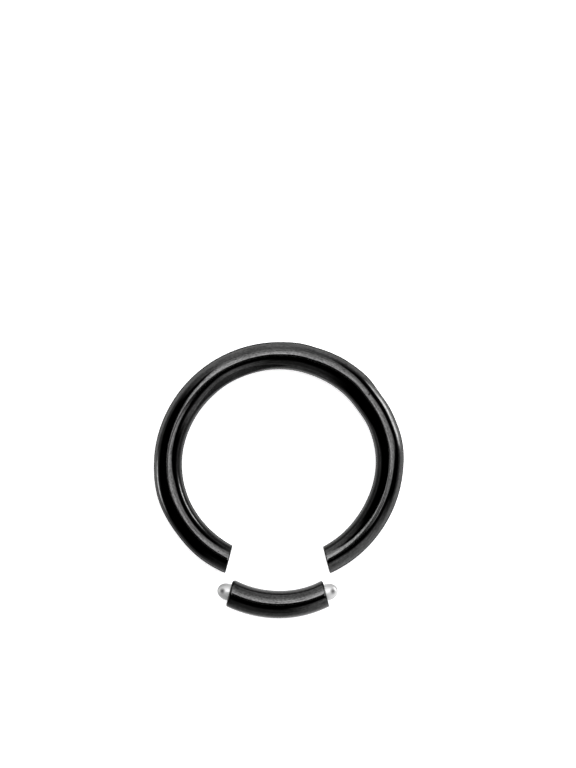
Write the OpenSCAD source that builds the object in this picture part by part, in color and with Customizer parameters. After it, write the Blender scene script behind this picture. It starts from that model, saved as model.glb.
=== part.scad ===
// Segment ring: a ring of round wire with a short segment that snaps into its gap.
// It lies flat on z = 0, with the origin under the middle of its hole and the gap towards -Y.

/* [Wire] */
// Thickness of the wire
wire_d = 2.08; // [1.88:0.02:2.2]

/* [Oval of the ring] */
// Bend radius of the wire's centre line in the two long bends, top and bottom
long_bend = 8.4; // [8.2:0.1:8.8]
// Bend radius of the wire's centre line in the two side bends
side_bend = 7.6; // [7.2:0.1:8]
// Half of the angle that each side bend takes
side_half_angle = 26; // [20:1:36]
// How far the oval is turned, counter-clockwise
oval_turn = 10; // [0:1:20]

/* [Flat spot] */
// Depth of the small flat spot on the outside of the right side bend
flat_depth = 0.05; // [0.02:0.01:0.15]
// Where the flat spot is on that bend, counter-clockwise from +X
flat_at = 35; // [5:1:36]

/* [Segment] */
// Distance between the two cuts along the X axis, at the middle of the wire
gap_w = 7.28; // [6.4:0.02:8]
// Where the middle of the gap is on the X axis
gap_x = -0.08; // [-0.3:0.02:0.3]
// Lean of each cut from the Y axis, which makes the segment wider on its outside
cut_lean = 15; // [10:1:18]
// Bend radius of the segment's centre line
segment_bend = 7.9; // [7.6:0.1:8.4]
// How far the segment is drawn straight out of the gap
drawn_out = 2.44; // [1.9:0.02:6]
// Clearance at each cut when the ring is closed
seam = 0.03; // [0.01:0.01:0.06]

/* [Pins] */
// Thickness of the two pins
pin_d = 1.28; // [1.1:0.02:1.3]
// Straight part of a pin between the segment's end and the pin's round nose
pin_neck = 0.2; // [0.1:0.05:0.3]
// Length of a pin inside the segment
pin_shank = 1; // [0.6:0.1:1.2]
// Clearance round a pin in its hole in the segment
hole_clear = 0.02; // [0.01:0.01:0.04]
// Clearance round a pin's nose in its socket in the hoop
socket_clear = 0.04; // [0.02:0.01:0.06]

/* [Hidden] */
$fn = 96;

LEFT = -1;
RIGHT = 1;

wire_r = wire_d / 2;
pin_r = pin_d / 2;

// The oval is four tangent bends. The centres of the side bends lie this far from the
// middle on its long axis, and those of the long bends this far on its short axis.
side_offset = (long_bend - side_bend) * cos(side_half_angle);
long_offset = (long_bend - side_bend) * sin(side_half_angle);
long_angle = 180 - 2 * side_half_angle;

// Centre of the bottom bend, which the gap is cut from
bottom_centre = long_offset * [-sin(oval_turn), cos(oval_turn)];

// Y where the wedge between the cuts begins, inside the ring, and ends, outside it
wedge_in = -5;
wedge_out = -11;
// What is cut away reaches this far past the face that it is cut from
past = 1;
// The segment's bend runs on by this angle past each cut before it is trimmed
bend_past = 6;

// A seat is the point where a cut meets the centre line of the hoop's wire
function seat_y(x) = bottom_centre.y - sqrt(long_bend ^ 2 - (x - bottom_centre.x) ^ 2);
function seat(side) =
    let (x = gap_x + side * gap_w / 2)
    [x, seat_y(x)];

// X of a cut at the height y, with the wedge made wider by grow on each side
function cut_x(side, y, grow) =
    seat(side).x + side * ((seat(side).y - y) * tan(cut_lean) + grow / cos(cut_lean));

// Centre of the segment's bend, which goes through both seats
across = seat(RIGHT) - seat(LEFT);
inward = [-across.y, across.x] / norm(across);
segment_centre = (seat(LEFT) + seat(RIGHT)) / 2
    + sqrt(segment_bend ^ 2 - (norm(across) / 2) ^ 2) * inward;

// Angle of a seat as seen from the segment's centre
function seat_angle(side) =
    let (from_centre = seat(side) - segment_centre)
    atan2(from_centre.y, from_centre.x);

// A stretch of round wire, bent round the origin from one angle through another
module bent_wire(radius, from, through) {
    rotate_extrude(angle = through, start = from)
        translate([radius, 0])
            circle(r = wire_r);
}

// Moves its children in two steps, so that the small end of a long decimal counts too
module place(v) {
    coarse = [for (n = v) round(n * 1000) / 1000];
    translate(coarse)
        translate(v - coarse)
            children();
}

// The whole oval before it is cut
module closed_ring() {
    rotate([0, 0, oval_turn])
        for (half = [0, 180])
            rotate([0, 0, half]) {
                place([side_offset, 0, 0])
                    bent_wire(side_bend, -side_half_angle, 2 * side_half_angle);
                place([0, -long_offset, 0])
                    bent_wire(long_bend, side_half_angle, long_angle);
            }
}

// The block between the two cuts
module wedge(grow) {
    height = wire_d + 2 * past;
    linear_extrude(height = height, center = true)
        polygon([
            [cut_x(LEFT, wedge_in, grow), wedge_in],
            [cut_x(LEFT, wedge_out, grow), wedge_out],
            [cut_x(RIGHT, wedge_out, grow), wedge_out],
            [cut_x(RIGHT, wedge_in, grow), wedge_in]
        ]);
}

// The block outside the flat spot
module flat_block() {
    size = 2 * wire_d;
    rotate([0, 0, oval_turn])
        translate([side_offset, 0, 0])
            rotate([0, 0, flat_at - oval_turn])
                translate([side_bend + wire_r - flat_depth, -size / 2, -size / 2])
                    cube(size);
}

// Puts its children on a seat, with their Z axis square to the cut and into the hoop
module on_seat(side) {
    translate([seat(side).x, seat(side).y, 0])
        rotate([0, 0, side == RIGHT ? cut_lean : 180 - cut_lean])
            rotate([0, 90, 0])
                children();
}

// A straight round rod that starts below its origin and ends in a round nose
module nosed_rod(radius, below, nose_at) {
    translate([0, 0, -below])
        cylinder(r = radius, h = below + nose_at);
    translate([0, 0, nose_at])
        sphere(r = radius);
}

// The C of wire, with a blind socket in each end
module hoop() {
    color("#1b1b1d")
        translate([0, 0, wire_r])
            difference() {
                closed_ring();
                wedge(0);
                flat_block();
                for (side = [LEFT, RIGHT])
                    on_seat(side)
                        nosed_rod(pin_r + socket_clear, past, pin_neck - seam);
            }
}

// What goes with the segment is made in the gap and then drawn out of it
module drawn() {
    translate([0, -drawn_out, wire_r])
        children();
}

// The piece that closes the gap, with a blind hole in each end
module segment() {
    from = seat_angle(LEFT) - bend_past;
    to = seat_angle(RIGHT) + bend_past;
    depth = pin_shank + hole_clear;
    color("#1b1b1d")
        drawn()
            difference() {
                intersection() {
                    translate([segment_centre.x, segment_centre.y, 0])
                        bent_wire(segment_bend, from, to - from);
                    wedge(-seam);
                }
                for (side = [LEFT, RIGHT])
                    on_seat(side)
                        translate([0, 0, -seam - depth])
                            cylinder(r = pin_r + hole_clear, h = depth + past);
            }
}

// A bright pin that stands in its hole in the segment
module pin(side) {
    color("#c8cacc")
        drawn()
            on_seat(side)
                translate([0, 0, -seam])
                    nosed_rod(pin_r, pin_shank, pin_neck);
}

module left_pin() {
    pin(LEFT);
}

module right_pin() {
    pin(RIGHT);
}

hoop();
segment();
left_pin();
right_pin();
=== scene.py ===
import math

import bmesh
import bpy
from mathutils import Matrix, Vector


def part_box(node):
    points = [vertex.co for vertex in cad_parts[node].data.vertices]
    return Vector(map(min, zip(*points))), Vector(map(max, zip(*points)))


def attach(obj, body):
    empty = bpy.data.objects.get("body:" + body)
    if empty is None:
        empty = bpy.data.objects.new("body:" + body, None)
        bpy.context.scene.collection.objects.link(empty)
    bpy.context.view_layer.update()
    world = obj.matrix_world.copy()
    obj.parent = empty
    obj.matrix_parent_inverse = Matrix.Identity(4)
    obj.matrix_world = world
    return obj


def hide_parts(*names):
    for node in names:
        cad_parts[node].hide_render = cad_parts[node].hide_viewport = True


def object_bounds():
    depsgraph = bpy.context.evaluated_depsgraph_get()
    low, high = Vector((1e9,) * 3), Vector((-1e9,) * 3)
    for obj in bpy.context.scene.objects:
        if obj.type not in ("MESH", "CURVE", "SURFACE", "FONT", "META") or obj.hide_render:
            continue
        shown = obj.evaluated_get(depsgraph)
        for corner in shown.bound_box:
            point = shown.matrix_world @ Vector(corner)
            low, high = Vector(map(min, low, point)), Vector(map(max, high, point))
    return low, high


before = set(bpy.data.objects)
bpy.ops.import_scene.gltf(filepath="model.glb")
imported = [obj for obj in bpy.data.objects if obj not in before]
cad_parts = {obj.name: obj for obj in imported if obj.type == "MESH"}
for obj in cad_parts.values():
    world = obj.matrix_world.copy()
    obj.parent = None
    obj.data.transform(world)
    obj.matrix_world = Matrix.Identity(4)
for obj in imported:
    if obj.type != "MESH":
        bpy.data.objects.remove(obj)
cad_low, cad_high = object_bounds()


# The hoop is a length of round steel wire, bent to a slightly oval ring and cut so that a gap
# is left in it. Each end has a blind socket for a pin. It was polished, and then coated black.

MM = 0.001

# The smooth wire is thinner by this much, and so stays inside the box of the faceted solid.
SLACK = 0.004 * MM
hoop_low, hoop_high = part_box("hoop")
wire_r = (hoop_high.z - hoop_low.z) / 2 - SLACK
wire_z = (hoop_high.z + hoop_low.z) / 2

# The oval is four bends. It has its own long axis, which is turned a little from the X axis.
LONG_BEND = 8.4 * MM
SIDE_BEND = 7.6 * MM
SIDE_HALF_ANGLE = math.radians(26)
OVAL_TURN = math.radians(10)
long_offset = (LONG_BEND - SIDE_BEND) * math.sin(SIDE_HALF_ANGLE)

# The two cuts lean, so that the gap is wider on the outside of the ring.
GAP_W = 7.28 * MM
GAP_X = -0.08 * MM
CUT_LEAN = math.radians(15)
LEFT, RIGHT = -1, 1

# The wire has pressed and swollen places: where each is, as an angle in degrees, how far it
# reaches to each side in degrees, and how far it stands out on the ring's outside and inside.
HOOP_SWELLS = [
    {"at": -62, "reach": 36, "outside": 0.010 * MM, "inside": -0.060 * MM},
    {"at": -4, "reach": 24, "outside": 0.000 * MM, "inside": -0.020 * MM},
    {"at": 8, "reach": 17, "outside": 0.062 * MM, "inside": -0.014 * MM},
    {"at": 36, "reach": 13, "outside": -0.012 * MM, "inside": 0.060 * MM},
    {"at": 47, "reach": 10, "outside": 0.065 * MM, "inside": 0.010 * MM},
    {"at": 59, "reach": 14, "outside": 0.060 * MM, "inside": 0.005 * MM},
    {"at": 81, "reach": 9, "outside": 0.032 * MM, "inside": -0.010 * MM},
    {"at": 92, "reach": 24, "outside": 0.000 * MM, "inside": -0.042 * MM},
    {"at": 120, "reach": 18, "outside": 0.000 * MM, "inside": -0.026 * MM},
    {"at": 197, "reach": 20, "outside": 0.066 * MM, "inside": 0.000 * MM},
    {"at": 210, "reach": 60, "outside": 0.000 * MM, "inside": 0.020 * MM},
    {"at": 232, "reach": 16, "outside": 0.045 * MM, "inside": 0.000 * MM},
]

# The small flat spot is on the outside, at this angle, and it is pressed in this far.
FLAT_AT = math.radians(35)
FLAT_DEPTH = 0.05 * MM

# Bending has pressed a long facet into the wire's inner shoulder, in degrees: where it is on the
# ring, how far it reaches to each side, and how far round the wire it is from the ring's outside.
HOOP_FACETS = [
    {"at": 115, "reach": 33, "around": 136.5, "depth": 0.064 * MM},
]

# How many points each patch of the wire's mesh has along the wire, apart from the wall.
EDGE_ROWS = 9
FACE_ROWS = 7
RIM_ROWS = 6
HOLE_ROWS = 4
BOTTOM_ROWS = 13

# Points of one shape that lie closer together than this are the same point.
SAME_POINT = 0.0005 * MM


class Value:
    """A socket to reckon with. An expression on values adds the Math nodes that work it out."""

    def __init__(self, rule, socket):
        self.rule = rule
        self.socket = socket

    def reckon(self, operation, *values):
        return self.rule.node("ShaderNodeMath", {"operation": operation}, dict(enumerate(values)))

    def __add__(self, other):
        return self.reckon("ADD", self, other)

    def __sub__(self, other):
        return self.reckon("SUBTRACT", self, other)

    def __rsub__(self, other):
        return self.reckon("SUBTRACT", other, self)

    def __mul__(self, other):
        return self.reckon("MULTIPLY", self, other)

    def __truediv__(self, other):
        return self.reckon("DIVIDE", self, other)

    def __rtruediv__(self, other):
        return self.reckon("DIVIDE", other, self)

    def __pow__(self, power):
        return self.reckon("POWER", self, power)

    def __gt__(self, limit):
        return self.reckon("GREATER_THAN", self, limit)

    def __neg__(self):
        return self * -1

    def at_least(self, limit):
        return self.reckon("MAXIMUM", self, limit)

    def at_most(self, limit):
        return self.reckon("MINIMUM", self, limit)

    __radd__ = __add__
    __rmul__ = __mul__

    def sin(self):
        return self.reckon("SINE", self)

    def cos(self):
        return self.reckon("COSINE", self)

    def acos(self):
        return self.reckon("ARCCOSINE", self)

    def angle_from(self, other):
        """The angle whose tangent is this value over the other one."""
        return self.reckon("ARCTAN2", self, other)

    def sign(self):
        return self.reckon("SIGN", self)

    def size(self):
        return self.reckon("ABSOLUTE", self)

    def root(self):
        return self.reckon("SQRT", self)

    def rises(self, start, end):
        """0 before start, 1 past end, and smooth in between."""
        return self.rule.node(
            "ShaderNodeMapRange",
            {"interpolation_type": "SMOOTHSTEP"},
            {"Value": self, "From Min": start, "From Max": end},
        )

    def fades(self, start, end):
        """1 before start, 0 past end, and smooth in between."""
        return 1 - self.rises(start, end)

    def sibling(self, name):
        """Another output of the same node."""
        return Value(self.rule, self.socket.node.outputs[name])


class Rule:
    """A node tree, in which every node comes from one method."""

    def __init__(self, tree):
        self.tree = tree

    def node(self, kind, settings=None, sockets=None, output=0):
        """Adds a node: its settings come first, then the values or links of its sockets."""
        made = self.tree.nodes.new(kind)
        for name, setting in (settings or {}).items():
            setattr(made, name, setting)
        for name, given in (sockets or {}).items():
            socket = made.inputs[name]
            if isinstance(given, list):
                for value in given:
                    self.tree.links.new(value.socket, socket)
            elif isinstance(given, Value):
                self.tree.links.new(given.socket, socket)
            else:
                socket.default_value = given
        return Value(self, made.outputs[output]) if made.outputs else None

    def point(self, x, y, z):
        return self.node("ShaderNodeCombineXYZ", {}, {"X": x, "Y": y, "Z": z})

    def parts(self, vector):
        split = self.node("ShaderNodeSeparateXYZ", {}, {"Vector": vector})
        return [split.sibling(axis) for axis in "XYZ"]

    def vector(self, operation, *vectors, output=0):
        settings = {"operation": operation}
        return self.node("ShaderNodeVectorMath", settings, dict(enumerate(vectors)), output)

    def scaled(self, vector, by):
        sockets = {"Vector": vector, "Scale": by}
        return self.node("ShaderNodeVectorMath", {"operation": "SCALE"}, sockets)

    def grey(self, tone):
        return self.node("ShaderNodeCombineColor", {}, {"Red": tone, "Green": tone, "Blue": tone})


def seat(side):
    """Where a cut meets the centre line of the hoop's wire, in the ring's middle plane."""
    centre_x = -long_offset * math.sin(OVAL_TURN)
    centre_y = long_offset * math.cos(OVAL_TURN)
    x = GAP_X + side * GAP_W / 2
    return Vector((x, centre_y - math.sqrt(LONG_BEND ** 2 - (x - centre_x) ** 2), wire_z))


def wire_tree(name, sizes, swells=(), facets=(), flat=None):
    """The rule for a bent wire with a cut at its start and at its end, each with a blind hole.

    It is worked out as patches of a grid: the wall, and for each end its rounded edge, its flat
    face, and the rim, wall and bottom of its hole. They all meet, and are merged at the end.
    """
    rule = Rule(bpy.data.node_groups.new(name, "GeometryNodeTree"))
    kinds = {float: "NodeSocketFloat", int: "NodeSocketInt", Vector: "NodeSocketVector"}
    for label, size in sizes.items():
        kind = kinds.get(type(size), "NodeSocketMaterial")
        rule.tree.interface.new_socket(label, in_out="INPUT", socket_type=kind)
    rule.tree.interface.new_socket("Wire", in_out="OUTPUT", socket_type="NodeSocketGeometry")
    asked = rule.node("NodeGroupInput")
    radius = asked.sibling("Wire radius")
    long_bend = asked.sibling("Long bend")
    side_bend = asked.sibling("Side bend")
    half = asked.sibling("Side half angle")
    fuller = asked.sibling("Inner fullness")
    turn = asked.sibling("Turn")
    columns = asked.sibling("Columns")
    centre_x, centre_y, centre_z = rule.parts(asked.sibling("Centre"))
    side_offset = (long_bend - side_bend) * half.cos()
    top_offset = (long_bend - side_bend) * half.sin()

    # A patch is a unit square round the origin: along it is one way, and round the wire the other.
    square_x, square_y, _ = rule.parts(rule.node("GeometryNodeInputPosition"))
    along = square_x + 0.5
    around = (square_y + 0.5) * math.tau
    outward = around.cos()
    upward = around.sin()

    def on_wire(angle, thickness):
        """The point at an angle on the oval, on a wire of this radius and with its swells."""
        own = angle - turn
        on_side = own.cos().size() > half.cos()
        across = side_offset * on_side * own.cos().sign()
        up = -top_offset * (1 - on_side) * own.sin().sign()
        ring = long_bend + (side_bend - long_bend) * on_side + thickness * outward
        ring = ring + fuller * outward * (1 - outward) * 0.5
        for swell in swells:
            away = (angle - math.radians(swell["at"])).size()
            near = away.fades(0.0, math.radians(swell["reach"]))
            shift = (swell["outside"] - swell["inside"]) / 2
            spread = (swell["outside"] + swell["inside"]) / 2
            ring = ring + near * (shift + spread * outward)
        return rule.point(
            centre_x + across * turn.cos() - up * turn.sin() + ring * angle.cos(),
            centre_y + across * turn.sin() + up * turn.cos() + ring * angle.sin(),
            centre_z + thickness * upward,
        )

    def patch(rows, place, unbent):
        """A patch whose points are put in place, and keep their place on the unbent wire."""
        grid = rule.node(
            "GeometryNodeMeshGrid",
            {},
            {"Size X": 1.0, "Size Y": 1.0, "Vertices X": rows, "Vertices Y": columns},
        )
        kept = rule.node(
            "GeometryNodeStoreNamedAttribute",
            {"data_type": "FLOAT_VECTOR", "domain": "POINT"},
            {"Geometry": grid, "Name": "unbent", "Value": unbent},
        )
        return rule.node("GeometryNodeSetPosition", {}, {"Geometry": kept, "Position": place})

    def cut_end(label, side):
        """The patches of one end, and the wire's angle at a depth behind its cut."""
        middle = asked.sibling(label + " seat")
        facing = asked.sibling(label + " facing")
        into = rule.point(facing.cos(), facing.sin(), 0.0)
        outside = rule.point(facing.sin() * side, facing.cos() * -side, 0.0)
        bend_centre = rule.point(
            centre_x - top_offset * turn.sin(), centre_y + top_offset * turn.cos(), centre_z
        )
        to_seat = rule.vector("SUBTRACT", bend_centre, middle)
        reach = rule.vector("DOT_PRODUCT", to_seat, into, output="Value")
        share = along if side > 0 else 1 - along
        quarter = share * (math.pi / 2)

        # The edge's rounding changes evenly from the ring's outside to its inside.
        outer = asked.sibling(label + " outer rounding")
        inner = asked.sibling(label + " inner rounding")
        rounding = outer + (inner - outer) * (1 - outward) * 0.5

        def angle_at(depth, thickness):
            return facing - ((depth - reach) / (long_bend + thickness * outward)).acos() * side

        def in_hole(depth, thickness):
            """A point round the hole's own axis, which is square to the cut."""
            on_axis = rule.vector("ADD", middle, rule.scaled(into, depth))
            beside = rule.vector("ADD", on_axis, rule.scaled(outside, thickness * outward))
            return rule.vector("ADD", beside, rule.point(0.0, 0.0, thickness * upward))

        edge_r = radius - rounding
        edge_angle = angle_at(0.0, edge_r)
        hole_r = asked.sibling("Hole radius")
        deep = asked.sibling("Hole depth")
        bottom = asked.sibling("Hole bottom")
        rim = asked.sibling("Hole rim")

        def unbent(depth, thickness):
            return rule.point(
                long_bend * edge_angle + depth * side, thickness * outward, thickness * upward
            )

        def hole_patch(rows, depth, thickness):
            return patch(rows, in_hole(depth, thickness), unbent(depth, thickness))

        round_depth = rounding * (1 - quarter.cos())
        round_r = radius - rounding * (1 - quarter.sin())
        rim_r = hole_r + rim
        face = rule.node(
            "ShaderNodeMix",
            {"data_type": "VECTOR"},
            {0: share, 4: in_hole(0.0, rim_r), 5: on_wire(edge_angle, edge_r)},
            output=1,
        )
        edge = on_wire(angle_at(round_depth, round_r), round_r)
        pieces = [
            patch(EDGE_ROWS, edge, unbent(round_depth, round_r)),
            patch(FACE_ROWS, face, unbent(0.0, rim_r + (edge_r - rim_r) * share)),
            hole_patch(RIM_ROWS, rim * (1 - quarter.sin()), hole_r + rim * (1 - quarter.cos())),
            hole_patch(HOLE_ROWS, deep + (rim - deep) * share, hole_r),
            hole_patch(BOTTOM_ROWS, deep + bottom * quarter.cos(), hole_r * quarter.sin()),
        ]
        return pieces, angle_at(rounding, radius)

    start_pieces, start_angle = cut_end("Start", 1)
    end_pieces, end_angle = cut_end("End", -1)
    angle = start_angle + (end_angle - start_angle) * along

    wall_r = radius
    for facet in facets:
        away = (angle - math.radians(facet["at"])).size()
        near = away.fades(0.0, math.radians(facet["reach"]))
        slant = (around - math.radians(facet["around"])).cos().at_least(0.1)
        wall_r = wall_r.at_most((radius - near * facet["depth"]) / slant)
    wall_place = on_wire(angle, wall_r)
    if flat:
        # What stands past the flat's plane is pressed back to it, with a soft edge all round.
        facing = rule.point(math.cos(flat["at"]), math.sin(flat["at"]), 0.0)
        past = rule.vector("DOT_PRODUCT", wall_place, facing, output="Value") - flat["distance"]
        pressed = (past + (past ** 2.0 + flat["soft"] ** 2).root()) * -0.5
        wall_place = rule.vector("ADD", wall_place, rule.scaled(facing, pressed))
    place_unbent = rule.point(long_bend * angle, radius * outward, radius * upward)
    wall = patch(asked.sibling("Rows"), wall_place, place_unbent)

    joined = rule.node("GeometryNodeJoinGeometry", {}, {0: [wall, *start_pieces, *end_pieces]})
    merged = rule.node(
        "GeometryNodeMergeByDistance", {}, {"Geometry": joined, "Distance": SAME_POINT}
    )
    smooth = rule.node("GeometryNodeSetShadeSmooth", {}, {"Geometry": merged})
    real = rule.node("GeometryNodeRealizeInstances", {}, {"Geometry": smooth})
    dressed = rule.node(
        "GeometryNodeSetMaterial", {}, {"Geometry": real, "Material": asked.sibling("Material")}
    )
    rule.node("NodeGroupOutput", {}, {"Wire": dressed})
    return rule.tree


def made_by(tree, name, sizes):
    """The plain mesh object that a tree makes when its inputs are given these sizes."""
    maker = bpy.data.objects.new(name + "_maker", bpy.data.meshes.new(name + "_maker"))
    bpy.context.scene.collection.objects.link(maker)
    modifier = maker.modifiers.new(name, "NODES")
    modifier.node_group = tree
    for label, size in sizes.items():
        modifier[tree.interface.items_tree[label].identifier] = size
    shapes = bpy.context.evaluated_depsgraph_get()
    mesh = bpy.data.meshes.new_from_object(
        maker.evaluated_get(shapes), preserve_all_data_layers=True, depsgraph=shapes
    )
    mesh.name = name
    maker.modifiers.clear()
    bpy.data.objects.remove(maker)
    faces_outwards(mesh)
    piece = bpy.data.objects.new(name, mesh)
    bpy.context.scene.collection.objects.link(piece)
    return piece


def faces_outwards(mesh):
    shape = bmesh.new()
    shape.from_mesh(mesh)
    bmesh.ops.recalc_face_normals(shape, faces=shape.faces)
    shape.to_mesh(mesh)
    shape.free()


# Marks in the coat: where each is, as an angle in degrees and as the distance from the wire's
# middle towards the outside, its half length along the wire and half width across it, and how
# dark it is. The long thin ones are thin dark lines along the top of the wire.
MARKS = [
    {"at": 237.25, "out": -0.218 * MM, "along": 0.05 * MM, "across": 0.05 * MM, "dark": 0.8},
    {"at": 56.0, "out": 0.266 * MM, "along": 0.05 * MM, "across": 0.05 * MM, "dark": 0.6},
    {"at": 42.25, "out": 0.432 * MM, "along": 0.04 * MM, "across": 0.05 * MM, "dark": 0.6},
    {"at": 39.5, "out": 0.304 * MM, "along": 0.07 * MM, "across": 0.1 * MM, "dark": 0.8},
    {"at": 34.75, "out": 0.292 * MM, "along": 0.04 * MM, "across": 0.04 * MM, "dark": 0.6},
    {"at": 30.5, "out": 0.229 * MM, "along": 0.05 * MM, "across": 0.05 * MM, "dark": 0.6},
    {"at": 39.8, "out": 0.36 * MM, "along": 0.035 * MM, "across": 0.16 * MM, "dark": 0.7},
    {"at": 86.0, "out": 0.1 * MM, "along": 0.03 * MM, "across": 0.12 * MM, "dark": 0.4},
    {"at": 75.0, "out": 0.1 * MM, "along": 0.03 * MM, "across": 0.12 * MM, "dark": 0.4},
    {"at": 165.0, "out": -0.02 * MM, "along": 2.1 * MM, "across": 0.022 * MM, "dark": 0.55},
    {"at": 183.0, "out": -0.06 * MM, "along": 1.3 * MM, "across": 0.022 * MM, "dark": 0.35},
    {"at": -9.0, "out": 0.105 * MM, "along": 1.1 * MM, "across": 0.022 * MM, "dark": 0.5},
    {"at": -14.0, "out": 0.03 * MM, "along": 1.0 * MM, "across": 0.022 * MM, "dark": 0.5},
    {"at": -26.0, "out": 0.08 * MM, "along": 1.7 * MM, "across": 0.034 * MM, "dark": 0.8},
]


# How rough and how light the plain coat is, and how high its grain and its streaks stand.
COAT_ROUGHNESS = 0.065
COAT_TONE = 0.05
DARKEST_TONE = 0.01
GRAIN_HEIGHT = 0.0004 * MM
STREAK_HEIGHT = 0.0005 * MM
MARK_DEPTH = 0.001 * MM


def black_coat():
    """Black coated steel: a mirror polish with fine grain, drawing streaks and small marks."""
    coat = bpy.data.materials.new("black_coat")
    coat.use_nodes = True
    coat.node_tree.nodes.clear()
    rule = Rule(coat.node_tree)
    unbent = rule.node("ShaderNodeAttribute", {"attribute_name": "unbent"}, output="Vector")

    def noise(size_along, size_round, detail):
        """Noise whose blotches are this long along the wire and this wide round it."""
        stretched = rule.vector("DIVIDE", unbent, (size_along, size_round, size_round))
        return rule.node(
            "ShaderNodeTexNoise",
            {"noise_dimensions": "3D"},
            {"Vector": stretched, "Scale": 1.0, "Detail": detail, "Roughness": 0.6},
        )

    grain = noise(size_along=0.17 * MM, size_round=0.08 * MM, detail=2.0)
    streaks = noise(size_along=1.6 * MM, size_round=0.08 * MM, detail=2.0)
    clouds = noise(size_along=2.5 * MM, size_round=0.9 * MM, detail=3.0)

    # A mark is an oval in the coat on the upper side of the wire.
    along, outward, upward = rule.parts(unbent)
    marks = 0.0
    for mark in MARKS:
        beside = (along - LONG_BEND * math.radians(mark["at"])) / mark["along"]
        out = (outward - mark["out"]) / mark["across"]
        spot = (beside ** 2.0 + out ** 2.0).root().fades(0.5, 1.3)
        marks = (spot * mark["dark"]).at_least(marks)
    marks = marks * (upward > 0.0)

    # On the pressed facet the coat is rougher, and its colour is darkened there as painted shade for
    # the dark reflection on the ring's inner shoulder.
    facet_rough_and_painted_shade = 0.0
    around = upward.angle_from(outward)
    for facet in HOOP_FACETS:
        near = (along / LONG_BEND - math.radians(facet["at"])).size()
        beside = (around - math.radians(facet["around"])).size()
        on_this_facet = near.fades(0.0, math.radians(facet["reach"]))
        on_this_facet = on_this_facet * beside.fades(math.radians(12), math.radians(20))
        facet_rough_and_painted_shade = on_this_facet.at_least(facet_rough_and_painted_shade)

    height = (grain - 0.5) * GRAIN_HEIGHT + (streaks - 0.5) * STREAK_HEIGHT - marks * MARK_DEPTH
    bump = rule.node("ShaderNodeBump", {}, {"Strength": 1.0, "Distance": 1.0, "Height": height})
    roughness = COAT_ROUGHNESS + (clouds - 0.5) * 0.04 + (grain - 0.5) * 0.04
    roughness = roughness + marks * 0.3 + facet_rough_and_painted_shade * 0.14
    tone = (COAT_TONE + (streaks - 0.5) * 0.09 + (grain - 0.5) * 0.12).at_least(DARKEST_TONE)
    # The darkening on the pressed facet is painted shade.
    tone = tone * (1 - marks) * (1 - facet_rough_and_painted_shade * 0.55)
    shader = rule.node(
        "ShaderNodeBsdfPrincipled",
        {},
        {"Base Color": rule.grey(tone), "Metallic": 1.0, "Roughness": roughness, "Normal": bump},
    )
    rule.node("ShaderNodeOutputMaterial", {}, {"Surface": shader})
    return coat


black_steel = black_coat()

hoop_sizes = {
    "Wire radius": wire_r,
    "Inner fullness": 0.027 * MM,
    "Long bend": LONG_BEND,
    "Side bend": SIDE_BEND,
    "Side half angle": SIDE_HALF_ANGLE,
    "Turn": OVAL_TURN,
    "Centre": Vector((0, 0, wire_z)),
    "Start seat": seat(RIGHT),
    "Start facing": CUT_LEAN,
    "End seat": seat(LEFT),
    "End facing": math.pi - CUT_LEAN,
    "Start outer rounding": 0.06 * MM,
    "Start inner rounding": 0.1 * MM,
    "End outer rounding": 0.06 * MM,
    "End inner rounding": 0.1 * MM,
    "Hole radius": 0.68 * MM,
    "Hole rim": 0.03 * MM,
    "Hole depth": 0.17 * MM,
    "Hole bottom": 0.76 * MM,
    "Rows": 440,
    "Columns": 121,
    "Material": black_steel,
}
side_offset = (LONG_BEND - SIDE_BEND) * math.cos(SIDE_HALF_ANGLE)
flat = {
    "at": FLAT_AT,
    "distance": side_offset * math.cos(FLAT_AT - OVAL_TURN) + SIDE_BEND + wire_r - FLAT_DEPTH,
    "soft": 0.01 * MM,
}
hoop_tree = wire_tree("hoop_wire", hoop_sizes, HOOP_SWELLS, HOOP_FACETS, flat)
hoop = made_by(hoop_tree, "black_hoop", hoop_sizes)
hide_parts("hoop")
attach(hoop, "hoop")


# The segment is a short length of the same wire, cut to close the gap. It is drawn out of the
# gap towards -Y. Its bend is a little tighter than the hoop's, and a pin stands in each end.

# Its pressed and swollen places are given in the same way as the hoop's.
SEGMENT_SWELLS = [
    {"at": -82, "reach": 30, "outside": 0.045 * MM, "inside": 0.000 * MM},
    {"at": -66, "reach": 34, "outside": 0.000 * MM, "inside": -0.070 * MM},
]
SEGMENT_BEND = 7.9 * MM
DRAWN_OUT = 2.44 * MM

# When the ring is closed, this much stays open between each of its end faces and the hoop's.
SEAM = 0.03 * MM

across = seat(RIGHT) - seat(LEFT)
inward = Vector((-across.y, across.x, 0)).normalized()
rise = math.sqrt(SEGMENT_BEND ** 2 - (across.length / 2) ** 2)
out_of_gap = Vector((0, -DRAWN_OUT, 0))


def segment_seat(side):
    """The middle of the segment's end face."""
    away = Vector((side * math.cos(CUT_LEAN), math.sin(CUT_LEAN), 0)) * SEAM
    return seat(side) - away + out_of_gap


segment_sizes = {
    **hoop_sizes,
    "Inner fullness": 0.0,
    "Long bend": SEGMENT_BEND,
    "Side bend": SEGMENT_BEND,
    "Centre": (seat(LEFT) + seat(RIGHT)) / 2 + rise * inward + out_of_gap,
    "Start seat": segment_seat(LEFT),
    "Start facing": -CUT_LEAN,
    "End seat": segment_seat(RIGHT),
    "End facing": CUT_LEAN - math.pi,
    "Start outer rounding": 0.1 * MM,
    "Start inner rounding": 0.3 * MM,
    "End outer rounding": 0.05 * MM,
    "End inner rounding": 0.2 * MM,
    "Hole radius": 0.66 * MM,
    "Hole depth": 0.9 * MM,
    "Hole bottom": 0.12 * MM,
    "Rows": 90,
}
segment_tree = wire_tree("segment_wire", segment_sizes, SEGMENT_SWELLS)
segment = made_by(segment_tree, "black_segment", segment_sizes)
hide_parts("segment")
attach(segment, "segment")


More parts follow.
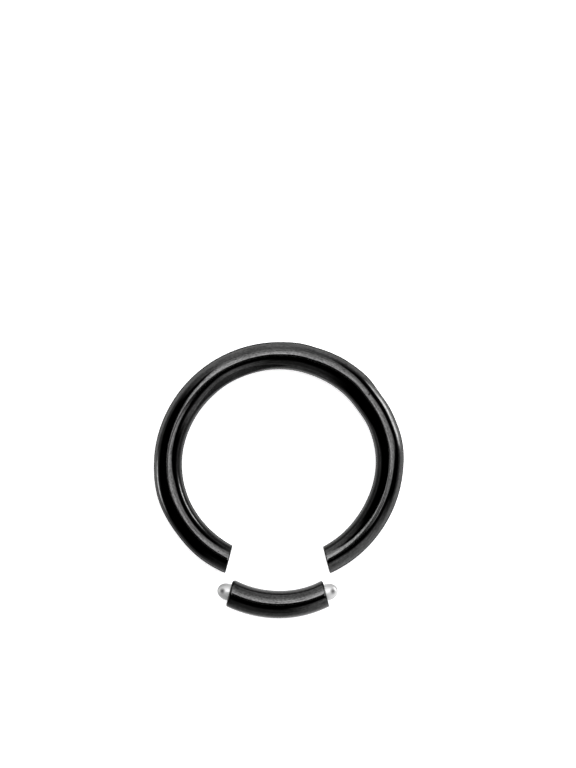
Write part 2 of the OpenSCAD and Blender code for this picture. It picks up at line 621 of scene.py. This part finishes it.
# The two pins are short rods of bright steel, turned with a round nose. Each is pressed into
# its hole in the segment, and its nose snaps into the socket in the hoop's end.

PIN_R = 0.64 * MM
PIN_SHANK = 1.0 * MM
PIN_BEVEL = 0.06 * MM

# The nose is a half oval when its bluntness is 1, and fuller when it is less.
NOSE_LENGTH = 0.92 * MM
NOSE_BLUNTNESS = 0.83
NOSE_STEPS = 32
PIN_STEPS = 96

# Each nose has a small dent on its upper side, this far from the segment's end, and the colour there
# is darkened as a painted dark reflection.
DENT_AT = 0.53 * MM
DENT_R = 0.145 * MM
DENT_DEPTH = 0.008 * MM

# How light the steel is, and how high the fine rings stand that turning has left.
PIN_TONE = 0.6
RING_HEIGHT = 0.0006 * MM


def bright_metal():
    """Satin steel, with the fine rings that turning leaves round the pin's own axis, and a dent on
    each nose whose darker colour is a painted reflection.
    """
    metal = bpy.data.materials.new("bright_metal")
    metal.use_nodes = True
    metal.node_tree.nodes.clear()
    rule = Rule(metal.node_tree)
    turned = rule.node("ShaderNodeAttribute", {"attribute_name": "turned"}, output="Vector")
    rings = rule.node(
        "ShaderNodeTexNoise",
        {"noise_dimensions": "3D"},
        {
            "Vector": rule.vector("DIVIDE", turned, (0.02 * MM, 0.5 * MM, 0.5 * MM)),
            "Scale": 1.0,
            "Detail": 2.0,
        },
    )
    along, beside, above = rule.parts(turned)
    from_dent = ((along - DENT_AT) ** 2.0 + beside ** 2.0).root()
    dent_and_painted_reflection = from_dent.fades(0.2 * DENT_R, 1.8 * DENT_R) * (above > 0.0)
    height = rings * RING_HEIGHT - dent_and_painted_reflection * DENT_DEPTH
    bump = rule.node("ShaderNodeBump", {}, {"Strength": 1.0, "Distance": 1.0, "Height": height})
    # The darkening at the dent is a painted dark reflection.
    tone = (PIN_TONE + (rings - 0.5) * 0.12) * (1 - dent_and_painted_reflection * 0.75)
    roughness = 0.3 + rings * 0.08
    shader = rule.node(
        "ShaderNodeBsdfPrincipled",
        {},
        {"Base Color": rule.grey(tone), "Metallic": 0.3, "Roughness": roughness, "Normal": bump},
    )
    rule.node("ShaderNodeOutputMaterial", {}, {"Surface": shader})
    return metal


bright_steel = bright_metal()


def turned_pin(name, side):
    """A pin turned about the line square to the segment's end, with its nose towards the hoop."""
    axis = Vector((side * math.cos(CUT_LEAN), math.sin(CUT_LEAN), 0))
    outline = [(-PIN_SHANK, 0), (-PIN_SHANK, PIN_R - PIN_BEVEL), (PIN_BEVEL - PIN_SHANK, PIN_R)]
    for step in range(NOSE_STEPS + 1):
        angle = math.radians(90) * step / NOSE_STEPS
        along = NOSE_LENGTH * math.sin(angle) ** NOSE_BLUNTNESS
        outline.append((along, PIN_R * math.cos(angle)))
    shape = bmesh.new()
    turned = shape.verts.layers.float_vector.new("turned")
    rings = []
    for along, out in outline:
        ring = []
        for step in range(PIN_STEPS):
            angle = math.tau * step / PIN_STEPS
            ring.append(shape.verts.new((along, out * math.cos(angle), out * math.sin(angle))))
            ring[-1][turned] = ring[-1].co
        rings.append(ring)
    for near, far in zip(rings, rings[1:]):
        for step in range(PIN_STEPS):
            after = (step + 1) % PIN_STEPS
            shape.faces.new((near[step], near[after], far[after], far[step]))
    bmesh.ops.remove_doubles(shape, verts=shape.verts, dist=SAME_POINT)
    facing = axis.to_track_quat("X", "Z").to_matrix().to_4x4()
    shape.transform(Matrix.Translation(segment_seat(side)) @ facing)
    for face in shape.faces:
        face.smooth = True
    mesh = bpy.data.meshes.new(name)
    shape.to_mesh(mesh)
    shape.free()
    faces_outwards(mesh)
    mesh.materials.append(bright_steel)
    pin = bpy.data.objects.new(name, mesh)
    bpy.context.scene.collection.objects.link(pin)
    return pin


for side, node in ((LEFT, "left_pin"), (RIGHT, "right_pin")):
    pin = turned_pin("bright_" + node, side)
    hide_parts(node)
    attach(pin, "segment")


# The studio: a pale floor that the ring lies on, soft light round it, and a camera above it.

FLOOR_SIZE = 4.0

# Where the photo has the middle of the ring, in pixels from its top left corner.
PHOTO_W, PHOTO_H = 576, 768
PIXELS_PER_MM = 13.35
MIDDLE_X, MIDDLE_Y = 278.1, 462.8
CAMERA_HEIGHT = 0.2
SENSOR_WIDTH = 36

# The two lamps stand near the floor, in these directions, and a pool of light is painted on the floor
# towards each.
LAMP_AZIMUTH = 24
PAINTED_POOL_AZIMUTH = 23
SMALL_LAMP_AZIMUTH = 191

floor_shape = bmesh.new()
bmesh.ops.create_grid(floor_shape, x_segments=1, y_segments=1, size=FLOOR_SIZE / 2)
floor_mesh = bpy.data.meshes.new("floor")
floor_shape.to_mesh(floor_mesh)
floor_shape.free()
floor = bpy.data.objects.new("floor", floor_mesh)
floor.location.z = cad_low.z
bpy.context.scene.collection.objects.link(floor)


def turned(x, y, azimuth):
    """How far, in degrees and counter-clockwise, a direction is turned from this azimuth."""
    there = math.radians(azimuth)
    across = y * math.cos(there) - x * math.sin(there)
    along = x * math.cos(there) + y * math.sin(there)
    return across.angle_from(along) * (180 / math.pi)


def pale_floor():
    """White paper. The camera sees it as evenly white. What the polished wire sees of it is a glow
    with painted light and painted shadows, not lit by the lamps.
    """
    paper = bpy.data.materials.new("pale_floor")
    paper.use_nodes = True
    paper.node_tree.nodes.clear()
    rule = Rule(paper.node_tree)
    x, y, _ = rule.parts(rule.node("ShaderNodeTexCoord", output="Object"))
    from_middle = (x ** 2.0 + y ** 2.0).root()

    # Its glow has painted shadows: it is dim in the middle of the ring and close to the wire.
    painted_floor_light = 0.28 + 1.22 * from_middle.rises(2.2 * MM, 7.0 * MM)
    outside = from_middle.rises(9.45 * MM, 12.0 * MM)
    inside = from_middle.fades(5.25 * MM, 7.25 * MM)
    in_gap = turned(x, y, 270).size().fades(22, 28)
    painted_floor_light = painted_floor_light * outside.at_least(inside).at_least(in_gap)

    # It also has a painted shadow towards the front left, and a little less of it in front of the gap.
    away = math.radians(220)
    front_left = x * math.cos(away) + y * math.sin(away)
    dimmed = 0.87 - 0.27 * turned(x, y, 235).rises(-7, 7)
    painted_floor_light = painted_floor_light * (1 - dimmed * front_left.rises(7.5 * MM, 15.0 * MM))

    def painted_pool(level, azimuth, beside, distance):
        """A painted pool of light. Its sides and its near end are soft, from the first value to the
        second.
        """
        spread = turned(x, y, azimuth).size().fades(*beside)
        return level * spread * from_middle.rises(*distance)

    painted_floor_light = painted_floor_light + painted_pool(11.0, PAINTED_POOL_AZIMUTH, (6, 20), (11.5 * MM, 21.0 * MM))
    painted_floor_light = painted_floor_light + painted_pool(7.5, SMALL_LAMP_AZIMUTH, (3, 19), (14.0 * MM, 20.0 * MM))

    seen = rule.node("ShaderNodeLightPath", output="Is Camera Ray")
    given = painted_floor_light * (1 - seen) + seen * 0.8
    shader = rule.node(
        "ShaderNodeBsdfPrincipled",
        {},
        {
            "Base Color": rule.grey(seen * 0.9),
            "Roughness": 1.0,
            "Specular IOR Level": 0.0,
            "Emission Color": rule.grey(given),
            "Emission Strength": 1.0,
        },
    )
    rule.node("ShaderNodeOutputMaterial", {}, {"Surface": shader})
    return paper


floor_mesh.materials.append(pale_floor())


def studio_light(rule):
    """How bright the studio is in each direction. Angles are in degrees."""
    x, y, z = rule.parts(rule.node("ShaderNodeTexCoord", output="Generated"))
    tilt = z.acos() * (180 / math.pi)

    # The key is a large level panel, brightest near the ring. These are distances on it for a
    # height of 1, along two axes that are turned by 40 degrees from X and Y.
    overhead = z.at_least(0.02)
    plan_x, plan_y = x / overhead, y / overhead
    turn = math.radians(40)
    ahead = plan_x * math.cos(turn) + plan_y * math.sin(turn)
    aside = plan_y * math.cos(turn) - plan_x * math.sin(turn)
    from_middle = (ahead - 0.07) ** 2.0 + (aside - 0.21) ** 2.0
    key = 0.5 + 5.4 / (1 + from_middle / 0.32)

    # Its near edge is made of four straight stretches, and its far edge of two.
    near_edge = (-0.03 - aside * 1.4).at_most(-0.006 - aside * 0.24).at_least(-0.096)
    near_edge = near_edge.at_least(aside * 0.27 - 0.19)
    far_edge = 0.94 + (aside - 0.05).at_least(0.0) * 1.2
    key = key * (ahead - near_edge).rises(-0.03, 0.03) * (ahead - far_edge).fades(-0.16, 0.16)
    key = key * (aside + ahead * 0.25).rises(-0.4, -0.25)

    # The camera hides a round place of it from the ring.
    from_camera = ((plan_x - 0.014) ** 2.0 + (plan_y - 0.091) ** 2.0).root()
    key = key * from_camera.rises(0.107, 0.127)

    def upright(level, azimuth, beside, top, from_top=tilt):
        """A standing light. Its sides and its top are soft, from the first angle to the second."""
        spread = turned(x, y, azimuth).size().fades(*beside)
        return level * spread * from_top.rises(*top)

    # There is a wall at the back, a bright one at the front right and a dim one at the front. The
    # back one is dimmer near the floor, and the top of the bright one slopes down towards +X.
    back = upright(1.35, 100, beside=(15, 50), top=(44, 54)) * (1 - 0.3 * tilt.rises(60, 85))
    slope = (turned(x, y, 300) * 0.95).at_least(0.0).at_most(18.0)
    front_right = upright(1.1, 306, beside=(12, 36), top=(24, 38), from_top=tilt - slope)
    front = upright(0.2, 285, beside=(30, 55), top=(32, 52))

    # Two lamps stand near the floor, and the rest of the room glows, except at the front left.
    lamp = upright(13.0, LAMP_AZIMUTH, beside=(6, 22), top=(78, 87))
    small_lamp = upright(3.0, SMALL_LAMP_AZIMUTH, beside=(3, 19), top=(84, 90))
    glow = 0.65 * turned(x, y, 218).size().rises(10, 44) * tilt.rises(64, 98)
    walls = back.at_least(front_right).at_least(front)
    return key.at_least(walls) + lamp + small_lamp + glow


world = bpy.data.worlds.new("studio")
world.use_nodes = True
world.node_tree.nodes.clear()
sky = Rule(world.node_tree)
seen = sky.node("ShaderNodeLightPath", output="Is Camera Ray")
strength = studio_light(sky) * (1 - seen) + seen
glow = sky.node("ShaderNodeBackground", {}, {"Color": (1, 1, 1, 1), "Strength": strength})
sky.node("ShaderNodeOutputWorld", {}, {"Surface": glow})
bpy.context.scene.world = world
bpy.context.scene.view_settings.view_transform = "Standard"

camera_data = bpy.data.cameras.new("camera")
camera = bpy.data.objects.new("camera", camera_data)
camera.location = (
    ((PHOTO_W - 1) / 2 - MIDDLE_X) / PIXELS_PER_MM * MM,
    (MIDDLE_Y - (PHOTO_H - 1) / 2) / PIXELS_PER_MM * MM,
    CAMERA_HEIGHT,
)
camera_data.sensor_width = SENSOR_WIDTH
camera_data.lens = SENSOR_WIDTH * (CAMERA_HEIGHT - wire_z) / (PHOTO_H / PIXELS_PER_MM * MM)
camera_data.clip_start = CAMERA_HEIGHT / 20
bpy.context.scene.collection.objects.link(camera)
bpy.context.scene.camera = camera
